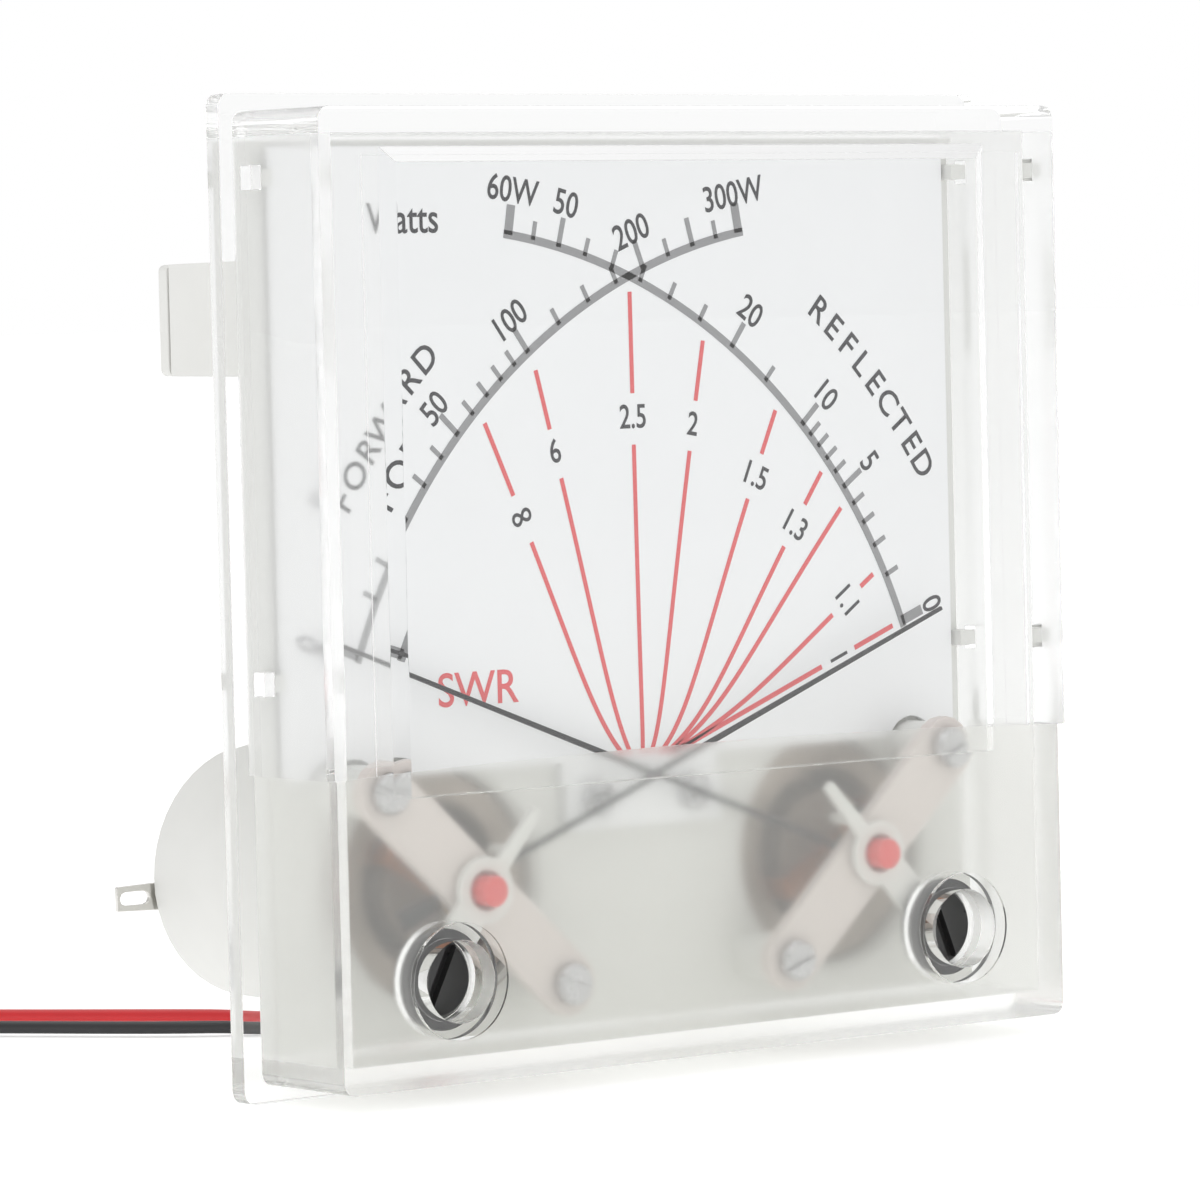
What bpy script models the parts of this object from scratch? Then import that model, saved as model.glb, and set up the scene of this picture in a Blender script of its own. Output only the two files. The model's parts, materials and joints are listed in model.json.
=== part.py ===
"""Cross-needle SWR and power panel meter.

Two moving-coil movements sit side by side in a white rear housing. Their needles cross in front of one
dial, under a clear cover whose lower part is frosted. Each movement has a slotted zero adjuster.

Frame: metres, +X to the right of the dial, +Y to the rear, +Z up. The origin is the middle of the flat
rear face of the housing. Everything is made in millimetres and then scaled to metres, except the leads.
"""
import math

import bmesh
import bpy
from mathutils import Matrix, Vector

MM = 0.001
GAP = 0.3                    # between pieces that touch on the real meter

# Clear cover: a raised clear upper block, a frosted lower block and a thin flange all round
UPPER_HALF_WIDTH = 37.7
LOWER_HALF_WIDTH = 37.25
BLOCK_HALF_HEIGHT = 38.0
FLANGE_HALF_WIDTH = 38.95
FLANGE_HALF_HEIGHT = 39.4
FLANGE_THICKNESS = 1.7
FRONT_Y = -13.1              # front of the upper block
FROSTED_Y = -12.7            # front of the lower block
WINDOW_BACK_Y = -10.6        # inner face of the front wall
CAVITY_HALF_WIDTH = 35.5
CAVITY_HALF_HEIGHT = 36.0
ARCH_TOP_Z = -12.9           # highest point of the line where the frosted part starts
ARCH_RISE = 0.75
ARCH_STEPS = 24
CORNER_RADIUS = 1.0
FRONT_RECESS_HALF_WIDTH = 33.7  # a shallow recess in front of the dial, open at its lower edge
FRONT_RECESS_TOP_Z = 34.2
FRONT_RECESS_DEPTH = 0.2
INNER_RECESS_HALF_WIDTH = 29.8  # and a deeper one in the inner face, its sides and top at 45 degrees
INNER_RECESS_TOP_Z = 33.7
INNER_RECESS_BOTTOM_Z = -15.5
INNER_RECESS_DEPTH = 1.2
SNAP_HEIGHTS = (32.8, -6.5)  # snap hooks of the housing and their windows in the cover's sides
SNAP_WINDOW_Y = (-4.0, -2.7)
SNAP_WINDOW_HALF_HEIGHT = 0.95
BEYOND = 5.0                 # how far a cutter runs past the face it cuts
OVERLAP = 1.0                # how far a joined block or a short cutter runs into its neighbour

# Rear housing: a plate inside the cover, with a can for each movement and a lamp chamber
PLATE_HALF_WIDTH = CAVITY_HALF_WIDTH - GAP
PLATE_HALF_HEIGHT = CAVITY_HALF_HEIGHT - GAP
PLATE_THICKNESS = 2.0
CAN_RADIUS = 10.5
CAN_BORE = 9.5
CAN_LENGTH = 22.0
CAN_END_WALL = 1.5
LAMP_HALF_WIDTH = 30.6
LAMP_HALF_HEIGHT = 4.7
LAMP_Z = 21.9
LAMP_LENGTH = 19.5
LAMP_WALL = 1.5
LAMP_DRAFT = 0.965           # outer size at the rear end over the size at the plate
HOLE_STEP = 0.5              # the plate's holes are this much smaller than what is joined round them
POST_RADIUS = 2.1            # the posts that carry the front bridges
POST_HOLE = 0.95
POST_FLOOR = 0.8             # what a post's blind hole leaves in front of the plate
SNAP_HOOK_Y = (-3.6, -3.1)
SNAP_HOOK_HALF_HEIGHT = 0.6
SNAP_HOOK_ROOT = 0.5         # how far the hook starts inside the plate's edge
SNAP_HOOK_INSET = 0.8        # how far its end stays inside the cover's side
SNAP_ARM_MARGIN = 0.1        # the arm stays this much inside the plate's edge and in front of the hook

# Lamps
BOARD_Y = (15.8, 17.2)
BOARD_HALF_SIZE = (26.0, 2.3)
BULB_X = 15.0
BULB_RADIUS = 1.9
BULB_FRONT_Y = 9.3
BULB_BASE_RADIUS = 1.15
BULB_NECK_RADIUS = 1.6
BULB_NECK_LENGTH = 0.3
BULB_TIP_RADIUS = 0.2
BULB_HOLE_CLEARANCE = 0.35
BULB_TAIL = 0.7
COVER_THICKNESS = 1.2
COVER_CORNER = 0.6
COVER_HOLE = 2.5
BOARD_CORNER = 0.5
BUSH_BORE = 1.65
BUSH_BODY = 2.15
BUSH_COLLAR = 3.1
BUSH_NOSE = 2.7
BUSH_STEPS_Y = (-0.6, 1.5, 2.0, 2.4)  # front end, collar's front, its rear edge and the rear end

# Dial
DIAL_HALF_WIDTH = 33.9
DIAL_TOP_Z = 35.2
DIAL_BOTTOM_Z = -14.5
DIAL_FRONT_Y = -2.8
DIAL_THICKNESS = 0.5
TONGUE_HALF_WIDTH = 8.0
TONGUE_BOTTOM_Z = -20.0
DIAL_SCREW = (5.0, -17.5)
DIAL_SCREW_HOLE = 0.75
DIAL_SCREW_CLEARANCE = 1.0
DIAL_SCREW_HEAD = (1.5, 0.7)  # radius and length
DIAL_SCREW_SHANK = (0.45, 2.6)
POST_CLEARANCE = 2.5

# Movements, mirrored about the middle of the meter
PIVOT_X = 20.4
PIVOT_Z = -23.5
NEEDLE_REST_DEG = 21.0       # above the horizontal, pointing across the dial
NEEDLE_LENGTH = 55.0
NEEDLE_FRONT_Y = {"left": -5.1, "right": -4.3}
NEEDLE_THICKNESS = 0.3
NEEDLE_ROOT_HALF_WIDTH = 0.3
NEEDLE_TIP_HALF_WIDTH = 0.16
NEEDLE_HUB = 1.7
NEEDLE_TAIL = (0.6, 0.9, 6.5)  # half width at the hub, half width at the end, and reach
NEEDLE_CROSS_ARM = (0.35, 0.35, 4.0)
BRIDGE_ANGLE_DEG = 43.0
BRIDGE_SCREW_REACH = 12.0
BRIDGE_FRONT_Y = -7.3
BRIDGE_THICKNESS = 1.2
BRIDGE_HALF_WIDTH = 2.6
BRIDGE_SCREW_CLEARANCE = 1.0
BRIDGE_SCREW_HEAD = (1.7, 0.9)
BRIDGE_SCREW_SHANK = (0.65, 4.0)
REAR_BRIDGE_HALF_SIZE = (2.0, 8.7)
REAR_BRIDGE_CORNER = 0.5
REAR_LEG_HALF_WIDTH = 1.8
REAR_LEG_REACH = (7.2, 8.6)
REAR_LEG_JOIN = 0.5
MAGNET_RADIUS = 5.0
YOKE_BORE = 6.8
YOKE_RADIUS = 9.2
YOKE_LUG_HALF_WIDTH = 1.5
YOKE_LUG_JOIN = 0.6
COIL_HALF_WIDTH = 6.2
COIL_WALL = 0.6
COIL_HALF_THICKNESS = 1.0
COIL_REST_DEG = 30.0
STAFF_RADIUS = 0.4
JEWEL_HOLE = 1.6             # through the bridges and the zero levers, round the jewel screws
JEWEL_SCREW_RADIUS = 1.25
JEWEL_CROWN = ((-9.8, 0.6), (-9.65, 0.95), (-9.4, JEWEL_SCREW_RADIUS), (-6.2, JEWEL_SCREW_RADIUS))
REAR_JEWEL_HEAD = (2.1, 1.2)
REAR_JEWEL_LENGTH = 2.1
SPRING_INNER_RADIUS = 0.9
SPRING_OUTER_RADIUS = 3.1
SPRING_TURNS = 2.5
SPRING_HALF_THICKNESS = 0.1
LEVER_HUB = 2.7
LEVER_ARM_HALF_WIDTH = 1.5
LEVER_ARM_PAST = 3.2         # how far the arm runs past the adjuster's axis
LEVER_TAIL_HALF_WIDTHS = (0.7, 0.45)
LEVER_TAIL = 8.0
LEVER_SLOT_BACK = 0.2        # the slot's middle lies this much inside the pin's rest place
LEVER_SLOT_HALF_LENGTH = 0.6
LEVER_TAB_REACH = 3.9
LEVER_TAB = (0.2, 0.32)      # half length and half width

# Layers of a movement along Y, front and back of each
LEVER_Y = (-8.3, -7.6)
STAFF_Y = (-5.9, 13.6)
SPRING_FRONT_Y = (-5.8, -5.4)
COIL_Y = (-2.7, 12.2)
MAGNET_Y = (-1.5, 11.0)
YOKE_Y = (-1.0, 10.5)
YOKE_LUG_Y = (2.0, 8.0)
SPRING_REAR_Y = (12.8, 13.2)
REAR_BRIDGE_Y = (14.0, 15.2)
REAR_LEG_FRONT_Y = 10.8
REAR_JEWEL_FACE_Y = 17.2

# Zero adjusters
ADJUSTER_X = 26.1
ADJUSTER_Z = -29.95
ADJUSTER_BORE = 3.25
ADJUSTER_RING = 4.6
ADJUSTER_FACE_Y = -10.2
ADJUSTER_RING_BACK_Y = -9.7
ADJUSTER_SHAFT = 3.1
ADJUSTER_FLANGE = 4.0
ADJUSTER_FLANGE_Y = (-9.4, -8.8)
PIN_OFFSET = 1.0
PIN_RADIUS = 0.5
PIN_END_Y = -7.2
SLOT_HALF_WIDTH = 0.45
SLOT_DEPTH = 0.7
SLOT_ANGLE_DEG = {"left": 63.0, "right": 112.0}
ADJUSTER_CHAMFER = 0.25
PIN_JOIN = 0.2

# Terminals at the rear of the cans
TERMINAL_OFFSET = 5.5
TERMINAL_Z = -25.0
TERMINAL_HOLE = 1.2
LUG_REACH = 8.4
LUG_THICKNESS = 0.4
LUG_HUB = 2.4
LUG_HALF_WIDTHS = (1.2, 1.0)
LUG_EYE = (0.9, 0.55)        # half length and half width
LUG_EYE_BACK = 1.7           # from the lug's end to the middle of its eye
TERMINAL_SCREW_HEAD = (2.0, 1.3)
TERMINAL_SCREW_SHANK = (0.9, 4.5)

# Lamp leads
WIRE_RADIUS = 0.55
WIRE_POINT_SPACING = 3.0
WIRE_FLOOR_GAP = 0.2         # a smooth curve dips a little where it lands
WIRE_END_LENGTH = 4.0
WIRE_END_RADIUS = 0.3
FLOOR_Z = -FLANGE_HALF_HEIGHT

# Screw heads, as shares of the head's radius or length
CROWN_RADIUS = 0.82
CROWN_LENGTH = 0.4
HEAD_SLOT_DEPTH = 0.45
HEAD_SLOT_HALF_WIDTH = 0.14

# Sides of a round piece, and turns of the slots in the screws
RING_STEPS = 72
CAN_STEPS = 48
POST_STEPS = 20
HOLE_STEPS = 16
SLOT_TURN_DEG = {"dial": 30, "bridge": 20, "jewel": 50, "terminal": 70}

MATERIALS = {
    "clear_acrylic": ((0.90, 0.92, 0.92), 0.05, 0.0),
    "white_plastic": ((0.86, 0.86, 0.84), 0.45, 0.0),
    "dial_white": ((0.90, 0.91, 0.93), 0.55, 0.0),
    "black_plastic": ((0.02, 0.02, 0.02), 0.30, 0.0),
    "needle_black": ((0.02, 0.02, 0.02), 0.50, 0.0),
    "magnet": ((0.13, 0.11, 0.10), 0.45, 0.9),
    "iron": ((0.22, 0.20, 0.18), 0.40, 1.0),
    "cream_bridge": ((0.80, 0.74, 0.66), 0.45, 0.0),
    "copper": ((0.72, 0.33, 0.16), 0.35, 1.0),
    "bronze": ((0.66, 0.48, 0.26), 0.35, 1.0),
    "red_seal": ((0.75, 0.10, 0.07), 0.35, 0.0),
    "steel": ((0.62, 0.62, 0.62), 0.30, 1.0),
    "tinned": ((0.75, 0.74, 0.70), 0.28, 1.0),
    "lamp_glass": ((0.92, 0.92, 0.90), 0.05, 0.0),
    "board": ((0.55, 0.42, 0.22), 0.60, 0.0),
    "rubber": ((0.03, 0.03, 0.03), 0.70, 0.0),
    "red_pvc": ((0.70, 0.03, 0.03), 0.40, 0.0),
    "black_pvc": ((0.03, 0.03, 0.03), 0.40, 0.0),
}


def clear_scene():
    for item in list(bpy.data.objects):
        bpy.data.objects.remove(item, do_unlink=True)


def material(name):
    found = bpy.data.materials.get(name)
    if found:
        return found
    colour, roughness, metallic = MATERIALS[name]
    made = bpy.data.materials.new(name)
    made.use_nodes = True
    shader = made.node_tree.nodes["Principled BSDF"]
    shader.inputs["Base Color"].default_value = (*colour, 1.0)
    shader.inputs["Roughness"].default_value = roughness
    shader.inputs["Metallic"].default_value = metallic
    return made


def finish_mesh(name, bm, finish):
    """Turn a bmesh into an object that is smooth except at its sharp edges."""
    bmesh.ops.recalc_face_normals(bm, faces=bm.faces)
    mesh = bpy.data.meshes.new(name)
    bm.to_mesh(mesh)
    bm.free()
    mesh.shade_smooth()
    mesh.set_sharp_from_angle(angle=math.radians(35))
    mesh.materials.append(material(finish))
    item = bpy.data.objects.new(name, mesh)
    bpy.context.scene.collection.objects.link(item)
    return item


# Outlines in the XZ plane

def circle(x, z, radius, steps):
    turn = 2 * math.pi / steps
    return [(x + radius * math.cos(i * turn), z + radius * math.sin(i * turn)) for i in range(steps)]


def rounded_box(x_low, x_high, z_low, z_high, radius=0.0, steps=3):
    if radius == 0.0:
        return [(x_low, z_low), (x_high, z_low), (x_high, z_high), (x_low, z_high)]
    corners = ((x_high - radius, z_high - radius, 0), (x_low + radius, z_high - radius, 90),
               (x_low + radius, z_low + radius, 180), (x_high - radius, z_low + radius, 270))
    points = []
    for x, z, start in corners:
        for i in range(steps + 1):
            angle = math.radians(start + 90 * i / steps)
            points.append((x + radius * math.cos(angle), z + radius * math.sin(angle)))
    return points


def stadium(x, z, angle_deg, half_length, half_width, steps=8):
    """A bar with round ends, centred on (x, z)."""
    points = []
    for end in (0, 180):
        toward = math.radians(angle_deg + end)
        for i in range(steps + 1):
            angle = toward + math.radians(-90 + 180 * i / steps)
            points.append((x + half_length * math.cos(toward) + half_width * math.cos(angle),
                           z + half_length * math.sin(toward) + half_width * math.sin(angle)))
    return points


def hub_with_arms(x, z, radius, arms, step_deg=18):
    """A round hub with straight arms. Each arm is (angle, half width at hub, half width at end, reach)."""
    arms = sorted((angle % 360, root, tip, reach) for angle, root, tip, reach in arms)
    points = []
    for i, (angle, root, tip, reach) in enumerate(arms):
        along = Vector((math.cos(math.radians(angle)), math.sin(math.radians(angle))))
        across = Vector((-along.y, along.x))
        centre = Vector((x, z))
        foot = centre + along * math.sqrt(radius ** 2 - root ** 2)
        points += [foot - across * root, centre + along * reach - across * tip,
                   centre + along * reach + across * tip, foot + across * root]
        following = arms[(i + 1) % len(arms)]
        start = angle + math.degrees(math.asin(root / radius))
        stop = following[0] - math.degrees(math.asin(following[1] / radius))
        while stop <= start:
            stop += 360
        count = max(1, round((stop - start) / step_deg))
        for k in range(1, count):
            turn = math.radians(start + (stop - start) * k / count)
            points.append(centre + radius * Vector((math.cos(turn), math.sin(turn))))
    return [tuple(point) for point in points]


# Solids

def slab(name, outline, holes, y_front, y_back, finish):
    """A flat plate: an outline with holes, from y_front to y_back."""
    bm = bmesh.new()
    edges = []
    for loop in [outline] + list(holes):
        ring = [bm.verts.new((x, y_front, z)) for x, z in loop]
        edges += [bm.edges.new((ring[i], ring[(i + 1) % len(ring)])) for i in range(len(ring))]
    filled = bmesh.ops.triangle_fill(bm, use_beauty=True, edges=edges, normal=(0, -1, 0))
    faces = [piece for piece in filled["geom"] if isinstance(piece, bmesh.types.BMFace)]
    grown = bmesh.ops.extrude_face_region(bm, geom=faces, use_keep_orig=True)
    moved = [piece for piece in grown["geom"] if isinstance(piece, bmesh.types.BMVert)]
    bmesh.ops.translate(bm, verts=moved, vec=(0, y_back - y_front, 0))
    return finish_mesh(name, bm, finish)


def box(name, x_low, x_high, y_low, y_high, z_low, z_high, finish):
    return slab(name, rounded_box(x_low, x_high, z_low, z_high), [], y_low, y_high, finish)


def turned(name, x, z, profile, finish, steps=24, bored=False):
    """A round piece about an axis along Y. The profile is (y, radius) points from the front.

    A solid piece has a flat cap at each end. A bored one has a closed profile that runs back inside.
    """
    bm = bmesh.new()
    rings = [[bm.verts.new((px, y, pz)) for px, pz in circle(x, z, radius, steps)]
             for y, radius in profile]
    pairs = list(zip(rings, rings[1:]))
    if bored:
        pairs.append((rings[-1], rings[0]))
    else:
        bm.faces.new(rings[0])
        bm.faces.new(rings[-1])
    for first, second in pairs:
        for i in range(steps):
            k = (i + 1) % steps
            bm.faces.new((first[i], first[k], second[k], second[i]))
    return finish_mesh(name, bm, finish)


def rod(name, x, z, y_front, y_back, radius, finish, steps=24):
    return turned(name, x, z, [(y_front, radius), (y_back, radius)], finish, steps)


def tube(name, x, z, y_front, y_back, inner, outer, finish, steps=24):
    profile = [(y_front, outer), (y_back, outer), (y_back, inner), (y_front, inner)]
    return turned(name, x, z, profile, finish, steps, bored=True)


def combine(base, tools, operation):
    """Join tools to the base, or cut them from it, and remove them."""
    bm = bmesh.new()
    for tool in tools:
        bm.from_mesh(tool.data)
        bpy.data.objects.remove(tool, do_unlink=True)
    mesh = bpy.data.meshes.new("tool")
    bm.to_mesh(mesh)
    bm.free()
    tool = bpy.data.objects.new("tool", mesh)
    bpy.context.scene.collection.objects.link(tool)
    step = base.modifiers.new("combine", "BOOLEAN")
    step.operation = operation
    step.solver = "EXACT"
    step.object = tool
    bpy.context.view_layer.update()
    shaped = bpy.data.meshes.new_from_object(base.evaluated_get(bpy.context.evaluated_depsgraph_get()))
    base.modifiers.clear()
    shaped.name = base.name
    base.data = shaped
    shaped.set_sharp_from_angle(angle=math.radians(35))
    bpy.data.objects.remove(tool, do_unlink=True)
    return base


def pivot(name, x, z, parent=None):
    """An empty on a joint's axis, which the moving pieces are parented to."""
    empty = bpy.data.objects.new(name, None)
    empty.empty_display_size = 5 * MM
    bpy.context.scene.collection.objects.link(empty)
    empty.location = (x, 0, z)
    if parent:
        empty.parent = parent
        empty.location -= parent.location
    return empty


def carry(item, empty, x, z):
    """Put a piece's origin on its axis and parent it there, leaving it where it is."""
    item.data.transform(Matrix.Translation((-x, 0, -z)))
    item.parent = empty
    return item


def slotted_screw(name, x, z, y_face, facing, head, shank, slot_deg, finish):
    """A round-headed screw along Y. facing is -1 for a head at the front, 1 for one at the rear.

    head and shank are (radius, length).
    """
    head_radius, head_length = head
    shank_radius, shank_length = shank
    into = -facing
    profile = [(y_face, head_radius * CROWN_RADIUS),
               (y_face + into * head_length * CROWN_LENGTH, head_radius),
               (y_face + into * head_length, head_radius), (y_face + into * head_length, shank_radius),
               (y_face + into * (head_length + shank_length), shank_radius)]
    screw = turned(name, x, z, profile, finish, steps=16)
    y_ends = sorted((y_face + facing * OVERLAP, y_face + into * head_length * HEAD_SLOT_DEPTH))
    slot = stadium(x, z, slot_deg, head_radius + OVERLAP, head_radius * HEAD_SLOT_HALF_WIDTH, 2)
    cut = slab("cut", slot, [], *y_ends, finish)
    return combine(screw, [cut], "DIFFERENCE")


def make_cover():
    """The clear moulding: front wall, side walls, flange, adjuster bosses and snap windows."""
    half = UPPER_HALF_WIDTH
    arch_radius = (half ** 2 + ARCH_RISE ** 2) / (2 * ARCH_RISE)
    arch = []
    for i in range(ARCH_STEPS + 1):
        x = -half + 2 * half * i / ARCH_STEPS
        arch.append((x, ARCH_TOP_Z - arch_radius + math.sqrt(arch_radius ** 2 - x ** 2)))
    top = rounded_box(-half, half, 0, BLOCK_HALF_HEIGHT, CORNER_RADIUS)
    top_corners = [point for point in top if point[1] > BLOCK_HALF_HEIGHT / 2]
    cover = slab("front_cover", arch + top_corners, [], FRONT_Y, 0, "clear_acrylic")
    lower = slab("lower", rounded_box(-LOWER_HALF_WIDTH, LOWER_HALF_WIDTH, -BLOCK_HALF_HEIGHT, BEYOND,
                                      CORNER_RADIUS), [], FROSTED_Y, -GAP, "clear_acrylic")
    combine(cover, [lower], "UNION")
    flange = slab("flange", rounded_box(-FLANGE_HALF_WIDTH, FLANGE_HALF_WIDTH, -FLANGE_HALF_HEIGHT,
                                        FLANGE_HALF_HEIGHT, CORNER_RADIUS), [],
                  -FLANGE_THICKNESS, 0, "clear_acrylic")
    combine(cover, [flange], "UNION")
    cavity = box("cavity", -CAVITY_HALF_WIDTH, CAVITY_HALF_WIDTH, WINDOW_BACK_Y, BEYOND,
                 -CAVITY_HALF_HEIGHT, CAVITY_HALF_HEIGHT, "clear_acrylic")
    combine(cover, [cavity], "DIFFERENCE")
    bosses = [rod("boss", side * ADJUSTER_X, ADJUSTER_Z, FRONT_Y, ADJUSTER_RING_BACK_Y, ADJUSTER_RING,
                  "clear_acrylic", RING_STEPS) for side in (-1, 1)]
    combine(cover, bosses, "UNION")
    cuts = [rod("bore", side * ADJUSTER_X, ADJUSTER_Z, FRONT_Y - BEYOND, WINDOW_BACK_Y + BEYOND,
                ADJUSTER_BORE, "clear_acrylic", RING_STEPS) for side in (-1, 1)]
    cuts.append(box("front_recess", -FRONT_RECESS_HALF_WIDTH, FRONT_RECESS_HALF_WIDTH, FRONT_Y - BEYOND,
                    FRONT_Y + FRONT_RECESS_DEPTH, ARCH_TOP_Z - BEYOND, FRONT_RECESS_TOP_Z, "clear_acrylic"))
    recess = box("inner_recess", -INNER_RECESS_HALF_WIDTH, INNER_RECESS_HALF_WIDTH,
                 WINDOW_BACK_Y - INNER_RECESS_DEPTH, WINDOW_BACK_Y + OVERLAP, INNER_RECESS_BOTTOM_Z,
                 INNER_RECESS_TOP_Z, "clear_acrylic")
    spread = INNER_RECESS_DEPTH + OVERLAP
    for vertex in recess.data.vertices:
        if vertex.co.y > WINDOW_BACK_Y:
            vertex.co.x += math.copysign(spread, vertex.co.x)
            if vertex.co.z > 0:
                vertex.co.z += spread
    cuts.append(recess)
    for height in SNAP_HEIGHTS:
        for side in (-1, 1):
            ends = sorted((side * (CAVITY_HALF_WIDTH - OVERLAP), side * (UPPER_HALF_WIDTH + OVERLAP)))
            cuts.append(box("snap", *ends, *SNAP_WINDOW_Y, height - SNAP_WINDOW_HALF_HEIGHT,
                            height + SNAP_WINDOW_HALF_HEIGHT, "clear_acrylic"))
    return combine(cover, cuts, "DIFFERENCE")


def bridge_feet(side):
    """The two points, outer then inner, where a movement's front bridge is screwed down."""
    angle = math.radians(BRIDGE_ANGLE_DEG)
    along = BRIDGE_SCREW_REACH * math.cos(angle)
    up = BRIDGE_SCREW_REACH * math.sin(angle)
    return [(side * (PIVOT_X + along), PIVOT_Z + up), (side * (PIVOT_X - along), PIVOT_Z - up)]


def terminal_points(side):
    """The outer and the inner terminal of a can, each with the direction of its lug along X."""
    return [(side * (PIVOT_X + TERMINAL_OFFSET), side), (side * (PIVOT_X - TERMINAL_OFFSET), -side)]


def make_housing():
    """The white moulding: plate, two cans, lamp chamber, bridge posts and snap hooks."""
    white = "white_plastic"
    pivots = [(side * PIVOT_X, PIVOT_Z) for side in (-1, 1)]
    window_half_width = LAMP_HALF_WIDTH - LAMP_WALL + HOLE_STEP
    window_half_height = LAMP_HALF_HEIGHT - LAMP_WALL + HOLE_STEP
    window = rounded_box(-window_half_width, window_half_width,
                         LAMP_Z - window_half_height, LAMP_Z + window_half_height)
    holes = [circle(x, z, CAN_RADIUS - HOLE_STEP, CAN_STEPS) for x, z in pivots] + [window]
    outline = rounded_box(-PLATE_HALF_WIDTH, PLATE_HALF_WIDTH, -PLATE_HALF_HEIGHT, PLATE_HALF_HEIGHT)
    housing = slab("rear_housing", outline, holes, -PLATE_THICKNESS, 0, white)

    rim_y = -PLATE_THICKNESS + GAP
    can_profile = [(CAN_LENGTH - CAN_END_WALL, CAN_BORE), (rim_y, CAN_BORE), (rim_y, CAN_RADIUS),
                   (CAN_LENGTH, CAN_RADIUS)]
    cans = [turned("can", x, z, can_profile, white, CAN_STEPS) for x, z in pivots]
    combine(housing, cans, "UNION")

    chamber = slab("chamber", rounded_box(-LAMP_HALF_WIDTH, LAMP_HALF_WIDTH, LAMP_Z - LAMP_HALF_HEIGHT,
                                          LAMP_Z + LAMP_HALF_HEIGHT),
                   [rounded_box(-LAMP_HALF_WIDTH + LAMP_WALL, LAMP_HALF_WIDTH - LAMP_WALL,
                                LAMP_Z - LAMP_HALF_HEIGHT + LAMP_WALL,
                                LAMP_Z + LAMP_HALF_HEIGHT - LAMP_WALL)],
                   rim_y, LAMP_LENGTH, white)
    for vertex in chamber.data.vertices:
        if vertex.co.y > 0:
            vertex.co.x *= LAMP_DRAFT
            vertex.co.z = LAMP_Z + (vertex.co.z - LAMP_Z) * LAMP_DRAFT
    combine(housing, [chamber], "UNION")

    feet = [foot for side in (-1, 1) for foot in bridge_feet(side)]
    post_top = BRIDGE_FRONT_Y + BRIDGE_THICKNESS + GAP
    joined_y = -PLATE_THICKNESS / 2
    posts = [rod("post", x, z, post_top, joined_y, POST_RADIUS, white, POST_STEPS) for x, z in feet]
    for height in SNAP_HEIGHTS:
        for side in (-1, 1):
            ends = sorted((side * (PLATE_HALF_WIDTH - OVERLAP),
                           side * (PLATE_HALF_WIDTH - SNAP_ARM_MARGIN)))
            tooth = sorted((side * (PLATE_HALF_WIDTH - SNAP_HOOK_ROOT),
                            side * (UPPER_HALF_WIDTH - SNAP_HOOK_INSET)))
            arm_half_height = SNAP_HOOK_HALF_HEIGHT + SNAP_ARM_MARGIN / 2
            arm = box("arm", *ends, SNAP_HOOK_Y[0] - SNAP_ARM_MARGIN, joined_y,
                      height - arm_half_height, height + arm_half_height, white)
            hook = box("hook", *tooth, *SNAP_HOOK_Y, height - SNAP_HOOK_HALF_HEIGHT,
                       height + SNAP_HOOK_HALF_HEIGHT, white)
            posts.append(combine(arm, [hook], "UNION"))
    combine(housing, posts, "UNION")

    cuts = [rod("hole", x, z, post_top - BEYOND, -PLATE_THICKNESS - POST_FLOOR, POST_HOLE, white,
                HOLE_STEPS) for x, z in feet]
    cuts += [rod("hole", side * DIAL_SCREW[0], DIAL_SCREW[1], -BEYOND, BEYOND, DIAL_SCREW_HOLE, white,
                 HOLE_STEPS) for side in (-1, 1)]
    cuts += [rod("hole", x, TERMINAL_Z, CAN_LENGTH - BEYOND, CAN_LENGTH + BEYOND, TERMINAL_HOLE, white,
                 HOLE_STEPS) for side in (-1, 1) for x, _ in terminal_points(side)]
    return combine(housing, cuts, "DIFFERENCE")


def make_dial():
    """The printed plate, with a tongue for its two screws and clearance for the outer bridge posts."""
    outline = [(-DIAL_HALF_WIDTH, DIAL_BOTTOM_Z), (-TONGUE_HALF_WIDTH, DIAL_BOTTOM_Z),
               (-TONGUE_HALF_WIDTH, TONGUE_BOTTOM_Z), (TONGUE_HALF_WIDTH, TONGUE_BOTTOM_Z),
               (TONGUE_HALF_WIDTH, DIAL_BOTTOM_Z), (DIAL_HALF_WIDTH, DIAL_BOTTOM_Z),
               (DIAL_HALF_WIDTH, DIAL_TOP_Z), (-DIAL_HALF_WIDTH, DIAL_TOP_Z)]
    holes = [circle(side * DIAL_SCREW[0], DIAL_SCREW[1], DIAL_SCREW_CLEARANCE, HOLE_STEPS)
             for side in (-1, 1)]
    back = DIAL_FRONT_Y + DIAL_THICKNESS
    dial = slab("dial_plate", outline, holes, DIAL_FRONT_Y, back, "dial_white")
    clearances = []
    for side in (-1, 1):
        x, z = bridge_feet(side)[0]
        clearances.append(rod("clearance", x, z, DIAL_FRONT_Y - BEYOND, BEYOND, POST_CLEARANCE,
                              "dial_white", POST_STEPS))
    combine(dial, clearances, "DIFFERENCE")
    for side, word in ((-1, "left"), (1, "right")):
        slotted_screw(f"dial_screw_{word}", side * DIAL_SCREW[0], DIAL_SCREW[1],
                      DIAL_FRONT_Y - GAP - DIAL_SCREW_HEAD[1], -1, DIAL_SCREW_HEAD, DIAL_SCREW_SHANK,
                      SLOT_TURN_DEG["dial"] * side, "steel")


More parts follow.
